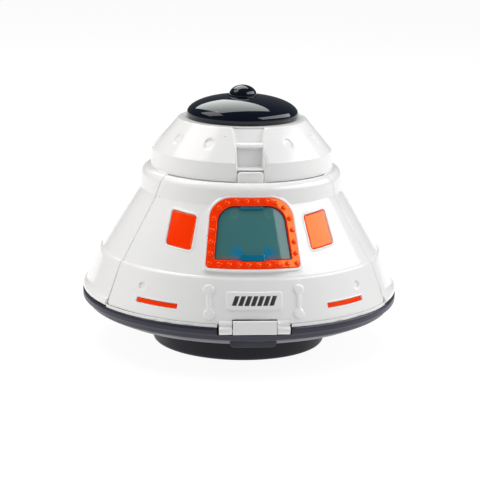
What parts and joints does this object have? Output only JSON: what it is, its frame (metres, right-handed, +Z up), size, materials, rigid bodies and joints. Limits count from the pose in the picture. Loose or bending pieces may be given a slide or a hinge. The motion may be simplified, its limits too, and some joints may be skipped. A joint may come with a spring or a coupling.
{
  "type": "toy space capsule",
  "caption": "Blunt-cone toy space capsule with a hinged front hatch, riveted window, crew couch and a sprung push button in its black nose dome.",
  "frame": {"origin": "centre of the foot's underside, on the surface the capsule stands on", "axes": "+Z up along the capsule's axis, hatch and window towards -Y, +X to the right of a viewer in front"},
  "size_m": [0.165, 0.165, 0.1356],
  "materials": {
    "white_plastic": "glossy moulded ABS",
    "orange_plastic": "satin moulded ABS",
    "slate_plastic": "semi-gloss moulded ABS",
    "charcoal_plastic": "satin moulded ABS",
    "black_gloss": "polished, nearly opaque navy black",
    "lens_plastic": "clear teal tinted styrene",
    "seat_plastic": "fine textured grey",
    "steel": "zinc plated",
    "contact_brass": "pressed strip",
    "board_green": "solder resist on laminate",
    "component_black": "moulded component",
    "led_red": "clear tinted epoxy",
    "wire_red": "PVC insulation"
  },
  "bodies": {
    "capsule": {"foot": "charcoal_plastic", "foot_screws": "steel", "base_dish": "slate_plastic", "base_screws": "steel", "floor_deck": "white_plastic", "hinge_pin": "steel", "cabin_seat": "seat_plastic", "rear_shell": "white_plastic", "upper_cone": "white_plastic", "ceiling_plate": "white_plastic", "nose_screws": "steel", "battery_cover": "white_plastic", "battery_screws": "steel", "button_cells": "steel", "cell_contacts": "contact_brass", "speaker": "component_black", "sound_board": "board_green", "board_screws": "steel", "tact_switch": "component_black", "board_leds": "led_red", "lead_wires": "wire_red", "nose_dome": "black_gloss", "button_spring": "steel"},
    "hatch": {"front_hatch": "white_plastic", "window_frame": "orange_plastic", "window_lens": "lens_plastic", "side_pane_left": "orange_plastic", "side_pane_right": "orange_plastic", "slot_bar_left": "orange_plastic", "slot_bar_right": "orange_plastic"},
    "button": {"nose_button": "black_gloss"}
  },
  "joints": [
    {"name": "hatch_hinge", "type": "hinge", "parent": "capsule", "child": "hatch", "pos_m": [0, -0.0804, 0.0265], "axis": [1, 0, 0], "range_deg": [0, 100]},
    {"name": "button_press", "type": "slide", "parent": "capsule", "child": "button", "axis": [0, 0, -1], "range_m": [0, 0.0016], "stiffness_N_per_m": 300, "springref_m": -0.001, "deforming": ["button_spring"]}
  ]
}
